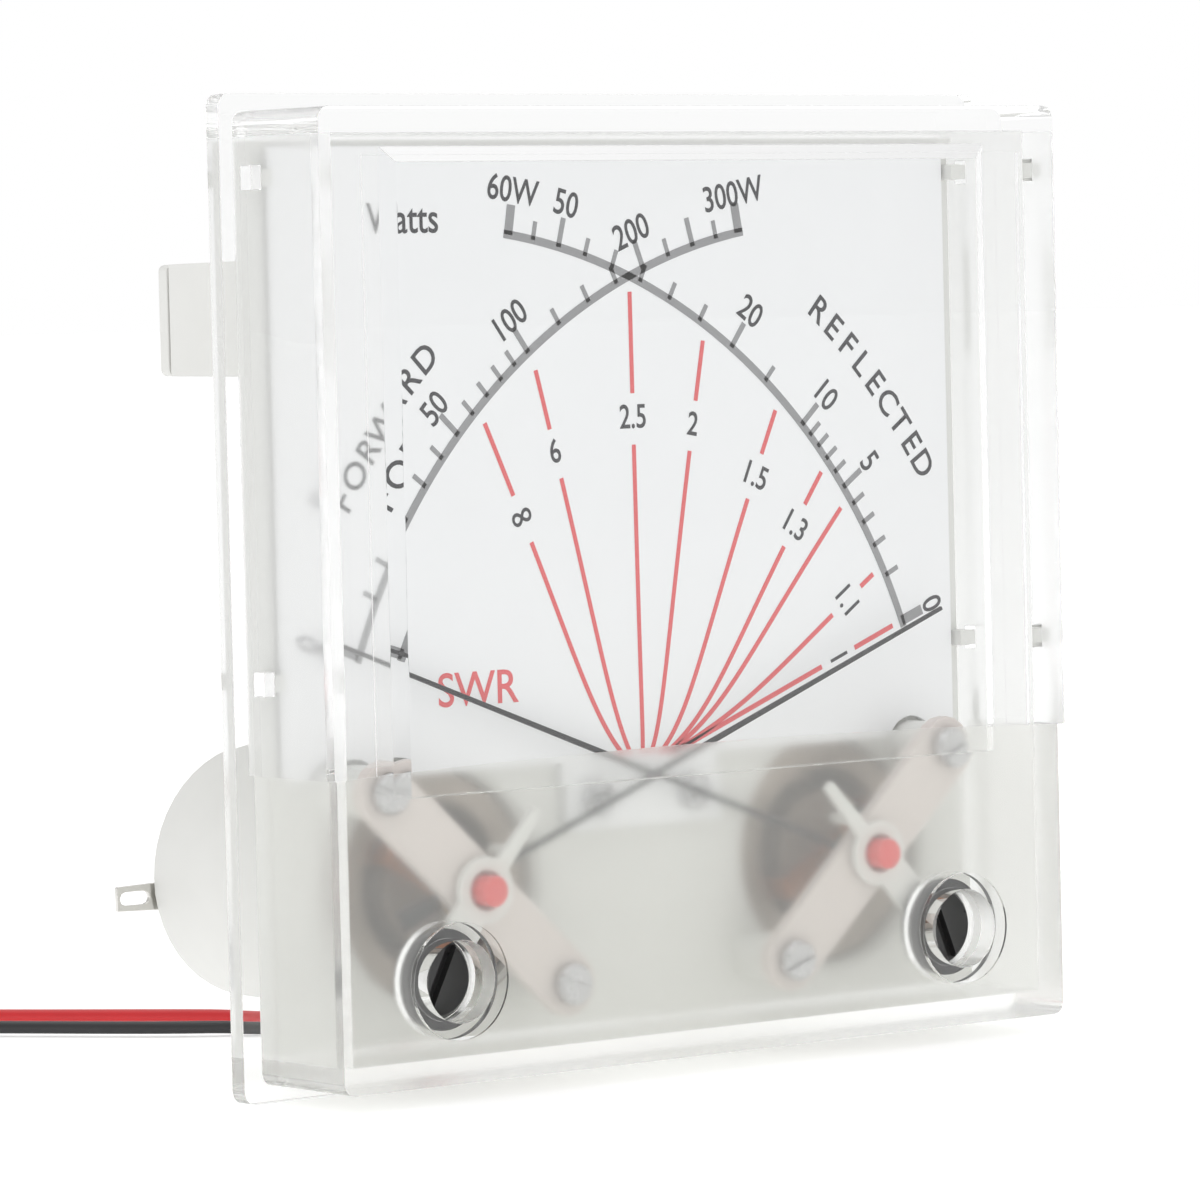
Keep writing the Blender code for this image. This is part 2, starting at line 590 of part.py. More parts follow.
def make_lamps():
    """The lamp chamber's cover, board, two bulbs and the bush that the leads come out of."""
    width = LAMP_HALF_WIDTH * LAMP_DRAFT
    height = LAMP_HALF_HEIGHT * LAMP_DRAFT
    front = LAMP_LENGTH + GAP
    slab("lamp_cover", rounded_box(-width, width, LAMP_Z - height, LAMP_Z + height, COVER_CORNER),
         [circle(0, LAMP_Z, COVER_HOLE, 24)], front, front + COVER_THICKNESS, "white_plastic")
    bush_front, collar_front, collar_edge, bush_back = [front + y for y in BUSH_STEPS_Y]
    bush = [(bush_front, BUSH_BODY), (collar_front, BUSH_BODY), (collar_front, BUSH_COLLAR),
            (collar_edge, BUSH_COLLAR), (bush_back, BUSH_NOSE), (bush_back, BUSH_BORE),
            (bush_front, BUSH_BORE)]
    turned("lead_bush", 0, LAMP_Z, bush, "rubber", bored=True)
    board_front, board_back = BOARD_Y
    half_width, half_height = BOARD_HALF_SIZE
    slab("lamp_board", rounded_box(-half_width, half_width, LAMP_Z - half_height, LAMP_Z + half_height,
                                   BOARD_CORNER),
         [circle(side * BULB_X, LAMP_Z, BULB_BASE_RADIUS + BULB_HOLE_CLEARANCE, HOLE_STEPS)
          for side in (-1, 1)], board_front, board_back, "board")
    dome = [(BULB_FRONT_Y + BULB_RADIUS * (1 - math.cos(math.radians(angle))),
             BULB_RADIUS * math.sin(math.radians(angle))) for angle in (35, 60, 90)]
    shoulder = board_front - GAP
    neck = [(shoulder - BULB_NECK_LENGTH, BULB_RADIUS), (shoulder, BULB_NECK_RADIUS),
            (shoulder, BULB_BASE_RADIUS), (board_back + BULB_TAIL, BULB_BASE_RADIUS)]
    bulb = [(BULB_FRONT_Y, BULB_TIP_RADIUS)] + dome + neck
    for side, word in ((-1, "left"), (1, "right")):
        turned(f"lamp_bulb_{word}", side * BULB_X, LAMP_Z, bulb, "lamp_glass", 14)


def spiral(x, z, side, end_deg):
    """The outline of a flat hairspring, wound from the inside out to end_deg."""
    steps = round(SPRING_TURNS * 12)
    sides = ([], [])
    for i in range(steps + 1):
        share = i / steps
        angle = math.radians(end_deg - 360 * SPRING_TURNS * (1 - share))
        middle = SPRING_INNER_RADIUS + (SPRING_OUTER_RADIUS - SPRING_INNER_RADIUS) * share
        for edge, offset in zip(sides, (-SPRING_HALF_THICKNESS, SPRING_HALF_THICKNESS)):
            radius = middle + offset
            edge.append((x + side * radius * math.cos(angle), z + radius * math.sin(angle)))
    return sides[0] + sides[1][::-1]


def make_movement(side, word):
    """One moving-coil movement with its bridges, needle and zero lever. side is -1 for the left one.

    Angles are taken outward from the middle of the meter and mirrored by side.
    """
    x = side * PIVOT_X
    z = PIVOT_Z

    def mirrored(angle):
        return angle if side > 0 else 180 - angle

    # Magnet system: a round magnet inside an iron ring, which holds it by two lugs
    yoke = tube(f"{word}_yoke_ring", x, z, *YOKE_Y, YOKE_BORE, YOKE_RADIUS, "iron", 32)
    lugs = []
    for end in (-1, 1):
        heights = sorted((z + end * (MAGNET_RADIUS + GAP), z + end * (YOKE_BORE + YOKE_LUG_JOIN)))
        lugs.append(box("lug", x - YOKE_LUG_HALF_WIDTH, x + YOKE_LUG_HALF_WIDTH, *YOKE_LUG_Y, *heights,
                        "iron"))
    combine(yoke, lugs, "UNION")
    rod(f"{word}_core_magnet", x, z, *MAGNET_Y, MAGNET_RADIUS, "magnet", 24)

    # Bridges with their jewel screws
    back = BRIDGE_FRONT_Y + BRIDGE_THICKNESS
    feet = bridge_feet(side)
    slab(f"{word}_front_bridge",
         stadium(x, z, mirrored(BRIDGE_ANGLE_DEG), BRIDGE_SCREW_REACH, BRIDGE_HALF_WIDTH),
         [circle(x, z, JEWEL_HOLE, HOLE_STEPS)]
         + [circle(fx, fz, BRIDGE_SCREW_CLEARANCE, HOLE_STEPS) for fx, fz in feet],
         BRIDGE_FRONT_Y, back, "cream_bridge")
    for (fx, fz), place in zip(feet, ("outer", "inner")):
        slotted_screw(f"{word}_bridge_screw_{place}", fx, fz, BRIDGE_FRONT_Y - GAP - BRIDGE_SCREW_HEAD[1],
                      -1, BRIDGE_SCREW_HEAD, BRIDGE_SCREW_SHANK, mirrored(SLOT_TURN_DEG["bridge"]), "steel")
    turned(f"{word}_jewel_screw_front", x, z, JEWEL_CROWN, "red_seal")
    half_width, half_height = REAR_BRIDGE_HALF_SIZE
    rear = slab(f"{word}_rear_bridge", rounded_box(x - half_width, x + half_width, z - half_height,
                                                   z + half_height, REAR_BRIDGE_CORNER),
                [circle(x, z, JEWEL_HOLE, 24)], *REAR_BRIDGE_Y, "cream_bridge")
    legs = [box("leg", x - REAR_LEG_HALF_WIDTH, x + REAR_LEG_HALF_WIDTH, REAR_LEG_FRONT_Y,
                REAR_BRIDGE_Y[0] + REAR_LEG_JOIN, *sorted(z + end * reach for reach in REAR_LEG_REACH),
                "cream_bridge") for end in (-1, 1)]
    combine(rear, legs, "UNION")
    slotted_screw(f"{word}_jewel_screw_rear", x, z, REAR_JEWEL_FACE_Y, 1, REAR_JEWEL_HEAD,
                  (JEWEL_SCREW_RADIUS, REAR_JEWEL_LENGTH), mirrored(SLOT_TURN_DEG["jewel"]), "bronze")

    # Zero lever: turns about the pivot, its slot follows the adjuster's pin, its tail holds the spring
    reach = math.hypot(ADJUSTER_X - PIVOT_X, ADJUSTER_Z - PIVOT_Z)
    toward = math.degrees(math.atan2(ADJUSTER_Z - PIVOT_Z, ADJUSTER_X - PIVOT_X))
    arm_deg = mirrored(toward)
    outline = hub_with_arms(x, z, LEVER_HUB, [
        (arm_deg, LEVER_ARM_HALF_WIDTH, LEVER_ARM_HALF_WIDTH, reach + LEVER_ARM_PAST),
        (arm_deg + 180, *LEVER_TAIL_HALF_WIDTHS, LEVER_TAIL)])
    pin_reach = reach + PIN_OFFSET
    along = Vector((math.cos(math.radians(arm_deg)), math.sin(math.radians(arm_deg))))
    slot_middle = Vector((x, z)) + along * (pin_reach - LEVER_SLOT_BACK)
    slot = stadium(slot_middle.x, slot_middle.y, arm_deg, LEVER_SLOT_HALF_LENGTH, PIN_RADIUS + GAP, 5)
    lever = slab(f"{word}_zero_lever", outline, [circle(x, z, JEWEL_HOLE, 24), slot], *LEVER_Y,
                 "white_plastic")
    tab_at = Vector((x, z)) - along * LEVER_TAB_REACH
    tab = slab("tab", stadium(tab_at.x, tab_at.y, arm_deg, *LEVER_TAB, 4), [], LEVER_Y[0] + GAP,
               SPRING_FRONT_Y[1], "white_plastic")
    combine(lever, [tab], "UNION")
    lever_axis = pivot(f"{word}_zero_lever_axis", x, z)
    carry(lever, lever_axis, x, z)

    # Moving coil on its staff, hairsprings and needle
    coil_front, coil_back = COIL_Y
    coil = slab(f"{word}_moving_coil",
                rounded_box(x - COIL_HALF_WIDTH, x + COIL_HALF_WIDTH, z - COIL_HALF_THICKNESS,
                            z + COIL_HALF_THICKNESS), [], coil_front, coil_back, "copper")
    inside = COIL_HALF_WIDTH - COIL_WALL
    window = box("window", x - inside, x + inside, coil_front + COIL_WALL, coil_back - COIL_WALL,
                 z - BEYOND, z + BEYOND, "copper")
    combine(coil, [window], "DIFFERENCE")
    turn = Matrix.Rotation(math.radians(-COIL_REST_DEG * side), 4, "Y")
    centre = Matrix.Translation((x, 0, z))
    coil.data.transform(centre @ turn @ centre.inverted())
    staffs = [rod("staff", x, z, STAFF_Y[0], coil_front + COIL_WALL / 2, STAFF_RADIUS, "copper", 12),
              rod("staff", x, z, coil_back - COIL_WALL / 2, STAFF_Y[1], STAFF_RADIUS, "copper", 12)]
    combine(coil, staffs, "UNION")
    front = NEEDLE_FRONT_Y[word]
    point_deg = mirrored(180 - NEEDLE_REST_DEG)
    needle = slab(f"{word}_needle",
                  hub_with_arms(x, z, NEEDLE_HUB, [
                      (point_deg, NEEDLE_ROOT_HALF_WIDTH, NEEDLE_TIP_HALF_WIDTH, NEEDLE_LENGTH),
                      (point_deg + 180, *NEEDLE_TAIL),
                      (point_deg + 90, *NEEDLE_CROSS_ARM),
                      (point_deg + 270, *NEEDLE_CROSS_ARM)]),
                  [circle(x, z, STAFF_RADIUS + GAP, HOLE_STEPS)], front, front + NEEDLE_THICKNESS,
                  "needle_black")
    needle_axis = pivot(f"{word}_needle_axis", x, z, lever_axis)
    carry(coil, needle_axis, x, z)
    carry(needle, needle_axis, x, z)
    springs = (("front", toward + 180, SPRING_FRONT_Y), ("rear", 180 - toward, SPRING_REAR_Y))
    for place, end_deg, layer in springs:
        slab(f"{word}_hairspring_{place}", spiral(x, z, side, end_deg), [], *layer, "bronze")

    # Zero adjuster: a slotted black screw whose off-centre pin moves the zero lever
    ax = side * ADJUSTER_X
    az = ADJUSTER_Z
    screw = turned(f"{word}_zero_screw", ax, az,
                   [(ADJUSTER_FACE_Y, ADJUSTER_SHAFT - ADJUSTER_CHAMFER),
                    (ADJUSTER_FACE_Y + ADJUSTER_CHAMFER, ADJUSTER_SHAFT),
                    (ADJUSTER_FLANGE_Y[0], ADJUSTER_SHAFT), (ADJUSTER_FLANGE_Y[0], ADJUSTER_FLANGE),
                    (ADJUSTER_FLANGE_Y[1], ADJUSTER_FLANGE)], "black_plastic", CAN_STEPS)
    pin_at = Vector((ax, az)) + along * PIN_OFFSET
    pin = rod("pin", pin_at.x, pin_at.y, ADJUSTER_FLANGE_Y[1] - PIN_JOIN, PIN_END_Y, PIN_RADIUS,
              "black_plastic", HOLE_STEPS)
    combine(screw, [pin], "UNION")
    cut = slab("cut", stadium(ax, az, SLOT_ANGLE_DEG[word], ADJUSTER_FLANGE, SLOT_HALF_WIDTH, 2), [],
               ADJUSTER_FACE_Y - BEYOND, ADJUSTER_FACE_Y + SLOT_DEPTH, "black_plastic")
    combine(screw, [cut], "DIFFERENCE")
    carry(screw, pivot(f"{word}_zero_screw_axis", ax, az), ax, az)

    # Terminals: a screw through each lug into the can's rear wall
    for (tx, outward), place in zip(terminal_points(side), ("outer", "inner")):
        lug_deg = 0 if outward > 0 else 180
        eye = stadium(tx + outward * (LUG_REACH - LUG_EYE_BACK), TERMINAL_Z, lug_deg, *LUG_EYE, 4)
        slab(f"{word}_solder_lug_{place}",
             hub_with_arms(tx, TERMINAL_Z, LUG_HUB, [(lug_deg, *LUG_HALF_WIDTHS, LUG_REACH)]),
             [circle(tx, TERMINAL_Z, TERMINAL_HOLE, HOLE_STEPS), eye], CAN_LENGTH + GAP,
             CAN_LENGTH + GAP + LUG_THICKNESS, "tinned")
        slotted_screw(f"{word}_terminal_screw_{place}", tx, TERMINAL_Z,
                      CAN_LENGTH + 2 * GAP + LUG_THICKNESS + TERMINAL_SCREW_HEAD[1], 1,
                      TERMINAL_SCREW_HEAD, TERMINAL_SCREW_SHANK, mirrored(SLOT_TURN_DEG["terminal"]),
                      "tinned")


def wire_route(x_start, x_drop, landing, passing, leaving, end):
    """Route points of one lamp lead: out of the bush, down behind the meter and along the table."""
    rest_z = FLOOR_Z + WIRE_RADIUS + WIRE_FLOOR_GAP
    return [(x_start, 17.6, LAMP_Z), (x_start, 22.5, LAMP_Z), (x_start, 26.3, LAMP_Z - 1.6),
            (x_start, 28.8, LAMP_Z - 6.0), (x_start, 29.6, 6.0), (x_start, 29.8, -8.0),
            (x_start + 0.2 * x_drop, 30.2, -22.0), (x_start + 0.5 * x_drop, 31.2, -31.5),
            (x_start + x_drop, 33.6, -37.0), (*landing, rest_z), (*passing, rest_z),
            (*leaving, rest_z), (*end, rest_z)]


WIRE_ROUTES = {
    "red": wire_route(0.75, -0.9, (-2.2, 40.2), (-8.0, 48.4), (-20.0, 62.9), (-33.5, 81.0)),
    "black": wire_route(-0.75, -1.9, (-6.4, 36.4), (-13.4, 41.0), (-25.1, 55.0), (-39.5, 73.2)),
}


def smooth_points(route, spacing):
    """Even points on a centripetal Catmull-Rom curve through the route."""
    knots = [Vector(point) for point in route]
    knots = [2 * knots[0] - knots[1]] + knots + [2 * knots[-1] - knots[-2]]
    fine = []
    for i in range(1, len(knots) - 2):
        p0, p1, p2, p3 = knots[i - 1:i + 3]
        t1 = (p1 - p0).length ** 0.5
        t2 = t1 + (p2 - p1).length ** 0.5
        t3 = t2 + (p3 - p2).length ** 0.5
        for k in range(20):
            t = t1 + (t2 - t1) * k / 20
            a1 = p0 * ((t1 - t) / t1) + p1 * (t / t1)
            a2 = p1 * ((t2 - t) / (t2 - t1)) + p2 * ((t - t1) / (t2 - t1))
            a3 = p2 * ((t3 - t) / (t3 - t2)) + p3 * ((t - t2) / (t3 - t2))
            b1 = a1 * ((t2 - t) / t2) + a2 * (t / t2)
            b2 = a2 * ((t3 - t) / (t3 - t1)) + a3 * ((t - t1) / (t3 - t1))
            fine.append(b1 * ((t2 - t) / (t2 - t1)) + b2 * ((t - t1) / (t2 - t1)))
    fine.append(knots[-2])
    total = sum((b - a).length for a, b in zip(fine, fine[1:]))
    count = round(total / spacing)
    step = total / count
    points = [fine[0]]
    travelled = 0.0
    for a, b in zip(fine, fine[1:]):
        length = (b - a).length
        while len(points) < count and travelled + length >= step * len(points):
            points.append(a.lerp(b, (step * len(points) - travelled) / length))
        travelled += length
    return points + [fine[-1]]


def make_wire_end(colour):
    """The stripped and tinned end of one lead."""
    points = smooth_points(WIRE_ROUTES[colour], WIRE_POINT_SPACING)
    heading = (points[-1] - points[-2]).normalized()
    tip = rod(f"wire_{colour}_end", 0, 0, GAP, WIRE_END_LENGTH, WIRE_END_RADIUS, "tinned", 10)
    tip.data.transform(heading.to_track_quat("Y", "Z").to_matrix().to_4x4())
    tip.location = points[-1]


def make_wire(colour):
    """One lead as a round tube, made in metres."""
    points = smooth_points(WIRE_ROUTES[colour], WIRE_POINT_SPACING)
    curve = bpy.data.curves.new(f"wire_{colour}", "CURVE")
    curve.dimensions = "3D"
    curve.bevel_depth = WIRE_RADIUS * MM
    curve.bevel_resolution = 2
    curve.use_fill_caps = True
    curve.render_resolution_u = 0
    spline = curve.splines.new("POLY")
    spline.points.add(len(points) - 1)
    for knot, point in zip(spline.points, points):
        knot.co = (*(point * MM), 1.0)
    curve.materials.append(material(f"{colour}_pvc"))
    wire = bpy.data.objects.new(f"wire_{colour}", curve)
    bpy.context.scene.collection.objects.link(wire)


def scale_to_metres():
    for item in bpy.data.objects:
        item.location *= MM
        if item.type == "MESH":
            item.data.transform(Matrix.Scale(MM, 4))


clear_scene()
make_cover()
make_housing()
make_dial()
make_lamps()
make_movement(-1, "left")
make_movement(1, "right")
for lead in WIRE_ROUTES:
    make_wire_end(lead)
scale_to_metres()
for lead in WIRE_ROUTES:
    make_wire(lead)
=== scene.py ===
import json
import math

import bmesh
import bpy
from mathutils import Matrix, Vector

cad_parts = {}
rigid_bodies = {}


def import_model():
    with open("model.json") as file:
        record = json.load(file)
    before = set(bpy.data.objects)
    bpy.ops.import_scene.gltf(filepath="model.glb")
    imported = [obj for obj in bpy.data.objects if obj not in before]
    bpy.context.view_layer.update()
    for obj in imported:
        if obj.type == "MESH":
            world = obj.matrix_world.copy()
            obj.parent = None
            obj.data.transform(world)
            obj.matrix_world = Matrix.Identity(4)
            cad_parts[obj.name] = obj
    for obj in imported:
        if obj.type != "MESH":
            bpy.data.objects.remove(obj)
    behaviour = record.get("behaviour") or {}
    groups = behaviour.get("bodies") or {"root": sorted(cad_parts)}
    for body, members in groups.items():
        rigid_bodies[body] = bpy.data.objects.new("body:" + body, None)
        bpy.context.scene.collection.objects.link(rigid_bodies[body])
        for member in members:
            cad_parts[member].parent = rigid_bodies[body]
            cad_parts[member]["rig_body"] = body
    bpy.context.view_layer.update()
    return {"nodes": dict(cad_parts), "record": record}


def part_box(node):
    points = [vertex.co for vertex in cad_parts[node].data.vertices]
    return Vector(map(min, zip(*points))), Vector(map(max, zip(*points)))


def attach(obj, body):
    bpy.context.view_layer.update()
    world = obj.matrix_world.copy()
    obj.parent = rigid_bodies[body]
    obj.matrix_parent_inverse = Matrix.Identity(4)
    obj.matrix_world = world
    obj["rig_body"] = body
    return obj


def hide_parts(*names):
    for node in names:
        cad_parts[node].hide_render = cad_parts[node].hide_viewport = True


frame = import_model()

MM = 0.001
NODES = frame["nodes"]
FLOOR_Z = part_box("front_cover")[0].z / MM

# Camera
CAMERA_PLACE = Vector((-320.1, -405.8, 22.0))
CAMERA_AZIMUTH = math.radians(38.16)
CAMERA_ELEVATION = math.radians(2.63)
CAMERA_ROLL = math.radians(-1.40)
CAMERA_LENS = 190.06
CAMERA_SENSOR = 36.0

# Lamp leads
WIRE_RADIUS = 0.55
WIRE_POINT_SPACING = 1.0
WIRE_FLOOR_GAP = 0.2         # a smooth curve dips a little where it lands
WIRE_END_LENGTH = 4.0
LAMP_Z = 21.9
SPAN_SAMPLES = 20            # fine points from one route point to the next
WIRE_ROUNDS = 4
STRAND_COUNT = 7             # one in the middle and six twisted around it
STRAND_POINTS = 17
STRAND_RADIUS = 0.1
STRAND_ROUNDS = 2
STRAND_REACH = 0.2           # from the lead's middle to the middle of an outer strand
STRAND_OVERLAP = 0.3         # how far inside the insulation the strands start

# Materials. A grain is the scale of a noise, in cycles per metre.
ROUGHNESS_SPREAD = 0.2
TONE_GRAIN_SHARE = 0.35      # the tone's grain over the finish's own
BUMP_GRAIN_SHARE = 2
BUMP_DETAIL = 5.0
BUMP_DEPTH = 0.05
POLISHED_BELOW = 0.1         # clear plastic smoother than this has an even roughness
HAZE_SPREAD = 0.1
HAZE_GRAIN = 400
RIPPLE_GRAIN = 120

# Cover
FROSTED_FRONT_Y = -12.7
WINDOW_BACK_Y = -10.6
CAVITY_HALF_WIDTH = 35.5
CAVITY_TOP_Z = 36.0
LOWER_HALF_WIDTH = 37.25
FROST_TOP_Z = -12.9
FROST_ARCH_RISE = 0.75
BLOCK_HALF_HEIGHT = 38.0
FLANGE_THICKNESS = 1.7
COVER_LOOKS = ("clear_acrylic", "frosted_acrylic", "hazed_acrylic", "hazed_margin")
COVER_EDGE = 0.18
COVER_EDGE_SEGMENTS = 3
FACING = 0.9                 # least part of a normal along an axis for a face that looks along it
LEANING = 0.5                # the same for a face that may slope
ON_PLANE = 0.01              # how far off a plane a face may be and still count as on it
NEAR_PLANE = 0.05

# Rounded edges
MERGE_GAP = 0.002
FLAT_WITHIN = math.radians(0.5)
SHARP_ABOVE = math.radians(32)
NARROW_SHARE = 0.35          # most that a rounding takes of a narrow face's width
ROUNDING = {
    "rear_housing": 0.25, "dial_plate": 0.05, "lamp_cover": 0.25, "lead_bush": 0.2, "lamp_board": 0.1,
    "needle": 0.06, "zero_lever": 0.12, "zero_screw": 0.15, "moving_coil": 0.15, "front_bridge": 0.2,
    "rear_bridge": 0.2, "yoke_ring": 0.2, "core_magnet": 0.3, "hairspring": 0.03, "solder_lug": 0.08,
    "terminal_screw": 0.1, "bridge_screw": 0.1, "jewel_screw": 0.1, "dial_screw": 0.08, "lamp_bulb": 0.1,
}

# Dial and needles
DIAL_FRONT_Y = -2.8
INK_Y = DIAL_FRONT_Y - 0.02
PIVOT_X = 20.4
PIVOT_Z = -23.5
REST_DEG = 21.0
FULL_FORWARD = 300.0
FULL_REFLECTED = 60.0
SPAN_DEG = {FULL_REFLECTED: 60.0, FULL_FORWARD: 59.3}
SOFT_START = {FULL_REFLECTED: 0.08, FULL_FORWARD: 0.06}  # the rectifiers read low at small powers

# Power scales. A tick is its reach beyond the arc and its width.
ARC_RADIUS = 52.25
ARC_WIDTH = 0.68
ARC_STEPS = 60
ARC_BEFORE_ZERO_DEG = 0.6
ARC_PAST_FULL_DEG = 0.5
SMALL_TICK = (1.5, 0.42)
NUMBERED_TICK = (2.4, 0.5)
END_TICK = (2.4, 0.85)
NUMBER_HEIGHT = 2.15
REFLECTED_NUMBER_REACH = 3.5
FORWARD_NUMBER_REACH = 3.1
REFLECTED_TICKS = (1, 2, 3, 4, 6, 7, 8, 9, 15, 25, 30, 35, 40, 45, 55)
FORWARD_TICKS = (5, 10, 20, 30, 40, 60, 70, 80, 90, 125, 150, 175, 225, 275)
REFLECTED_NUMBERS = ((0, "0"), (5, "5"), (10, "10"), (20, "20"), (50, "50"), (60, "60W"))
FORWARD_NUMBERS = ((0, "0"), (50, "50"), (100, "100"), (200, "200"), (250, ""), (300, "300W"))

# SWR lines: each SWR (None where it is infinite), its label and the label's height on the dial
SWR_LINES = ((None, "∞", 5.5), (6, "6", 10.8), (2.6, "2.5", 13.3), (1.92, "2", 12.4), (1.5, "1.5", 8.0),
             (1.3, "1.3", 3.7), (1.22, "", 0.0), (1.1, "1.1", -2.8), (1.005, "1", -7.5))
SWR_LINE_WIDTH = 0.42
SWR_LABEL_HEIGHT = 2.0
SWR_LABEL_GAP = 1.9          # from a label's middle to the line's broken ends
FAN_REACH = 51.2             # the lines stop just inside the arcs
FAN_FOOT_Z = -14.3
FAN_STEPS = 400
FAN_LAST_SHARE = 1.6         # far enough past full scale for every line to end at the arcs
FAN_HEADING_POINTS = 3       # points on each side of a label that give its slope

# Lettering
CAPITAL = 0.73               # height of a capital letter over the font's size
STROKE_GAIN = 0.03
NARROWING = 0.86

# Stage and light
FLOOR_RADIUS_M = 30.0
FLOOR_DROP = 0.05
LIGHT_BOUNCES = 64           # enough to cross the cover's front wall from one side to the other
SKY_ENDS = ((0.0, 1.0), (1.0, 1.0))  # from 0 at the horizon to 1 overhead, each with its brightness
SKY_BETWEEN = ((0.16, 1.0), (0.34, 0.62), (0.62, 0.62), (0.80, 1.0))
LIGHTS = {                   # place and width in metres, and watts
    "key": ((-0.5, -0.7, 0.9), 0.6, 1.0),
    "fill": ((0.9, -0.5, 0.5), 0.8, 0.5),
    "top": ((0.0, 0.3, 1.1), 0.8, 1.5),
}


# Camera and leads

def make_camera():
    azimuth, elevation, roll = CAMERA_AZIMUTH, CAMERA_ELEVATION, CAMERA_ROLL
    view = Vector((math.sin(azimuth) * math.cos(elevation), math.cos(azimuth) * math.cos(elevation),
                   -math.sin(elevation)))
    level = Vector((math.cos(azimuth), -math.sin(azimuth), 0))
    up = level.cross(view)
    right = level * math.cos(roll) + up * math.sin(roll)
    top = up * math.cos(roll) - level * math.sin(roll)
    data = bpy.data.cameras.new("camera")
    data.lens = CAMERA_LENS
    data.sensor_width = CAMERA_SENSOR
    camera = bpy.data.objects.new("camera", data)
    bpy.context.scene.collection.objects.link(camera)
    matrix = Matrix((right, top, -view)).transposed().to_4x4()
    matrix.translation = CAMERA_PLACE * MM
    camera.matrix_world = matrix
    bpy.context.scene.camera = camera


def wire_route(x_start, x_drop, landing, passing, leaving, end):
    """Route points of one lamp lead: out of the bush, down behind the meter and along the table."""
    rest_z = FLOOR_Z + WIRE_RADIUS + WIRE_FLOOR_GAP
    return [(x_start, 17.6, LAMP_Z), (x_start, 22.5, LAMP_Z), (x_start, 26.3, LAMP_Z - 1.6),
            (x_start, 28.8, LAMP_Z - 6.0), (x_start, 29.6, 6.0), (x_start, 29.8, -8.0),
            (x_start + 0.2 * x_drop, 30.2, -22.0), (x_start + 0.5 * x_drop, 31.2, -31.5),
            (x_start + x_drop, 33.6, -37.0), (*landing, rest_z), (*passing, rest_z),
            (*leaving, rest_z), (*end, rest_z)]


WIRE_ROUTES = {
    "red": wire_route(0.75, -0.9, (-2.2, 40.2), (-8.0, 48.4), (-20.0, 62.9), (-33.5, 81.0)),
    "black": wire_route(-0.75, -1.9, (-6.4, 36.4), (-13.4, 41.0), (-25.1, 55.0), (-39.5, 73.2)),
}


def smooth_points(route, spacing):
    """Even points on a centripetal Catmull-Rom curve through the route."""
    knots = [Vector(point) for point in route]
    knots = [2 * knots[0] - knots[1]] + knots + [2 * knots[-1] - knots[-2]]
    fine = []
    for i in range(1, len(knots) - 2):
        p0, p1, p2, p3 = knots[i - 1:i + 3]
        t1 = (p1 - p0).length ** 0.5
        t2 = t1 + (p2 - p1).length ** 0.5
        t3 = t2 + (p3 - p2).length ** 0.5
        for k in range(SPAN_SAMPLES):
            t = t1 + (t2 - t1) * k / SPAN_SAMPLES
            a1 = p0 * ((t1 - t) / t1) + p1 * (t / t1)
            a2 = p1 * ((t2 - t) / (t2 - t1)) + p2 * ((t - t1) / (t2 - t1))
            a3 = p2 * ((t3 - t) / (t3 - t2)) + p3 * ((t - t2) / (t3 - t2))
            b1 = a1 * ((t2 - t) / t2) + a2 * (t / t2)
            b2 = a2 * ((t3 - t) / (t3 - t1)) + a3 * ((t - t1) / (t3 - t1))
            fine.append(b1 * ((t2 - t) / (t2 - t1)) + b2 * ((t - t1) / (t2 - t1)))
    fine.append(knots[-2])
    total = sum((b - a).length for a, b in zip(fine, fine[1:]))
    count = round(total / spacing)
    step = total / count
    points = [fine[0]]
    travelled = 0.0
    for a, b in zip(fine, fine[1:]):
        length = (b - a).length
        while len(points) < count and travelled + length >= step * len(points):
            points.append(a.lerp(b, (step * len(points) - travelled) / length))
        travelled += length
    return points + [fine[-1]]


def line_object(name, lines, radius, material, rounds):
    """Round strands, one for each line of points."""
    curve = bpy.data.curves.new(name, "CURVE")
    curve.dimensions = "3D"
    curve.bevel_depth = radius * MM
    curve.bevel_resolution = rounds
    curve.use_fill_caps = True
    for points in lines:
        spline = curve.splines.new("POLY")
        spline.points.add(len(points) - 1)
        for knot, point in zip(spline.points, points):
            knot.co = (*(point * MM), 1.0)
        spline.use_smooth = True
    curve.materials.append(material)
    item = bpy.data.objects.new(name, curve)
    bpy.context.scene.collection.objects.link(item)
    return item


def bare_strands(points):
    """The twisted strands that stick out of a lead's insulation beyond its last point."""
    heading = (points[-1] - points[-2]).normalized()
    turn = heading.to_track_quat("Z", "Y")
    strands = []
    for strand in range(STRAND_COUNT):
        reach = 0.0 if strand == 0 else STRAND_REACH
        helix = []
        for i in range(STRAND_POINTS):
            share = i / (STRAND_POINTS - 1)
            angle = 2 * math.pi * (strand / (STRAND_COUNT - 1) + share)
            along = -STRAND_OVERLAP + (WIRE_END_LENGTH + STRAND_OVERLAP) * share
            place = Vector((reach * math.cos(angle), reach * math.sin(angle), along))
            helix.append(points[-1] + turn @ place)
        strands.append(helix)
    return strands


def make_leads():
    for colour, route in WIRE_ROUTES.items():
        points = smooth_points(route, WIRE_POINT_SPACING)
        lead = line_object(f"lead_{colour}", [points], WIRE_RADIUS, materials[f"{colour}_pvc"],
                           WIRE_ROUNDS)
        tip = line_object(f"lead_{colour}_strands", bare_strands(points), STRAND_RADIUS,
                          materials["tinned"], STRAND_ROUNDS)
        for piece, node, slot in ((lead, f"wire_{colour}", f"{colour}_pvc"),
                                  (tip, f"wire_{colour}_end", "tinned")):
            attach(piece, "case")
            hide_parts(node)


# Materials

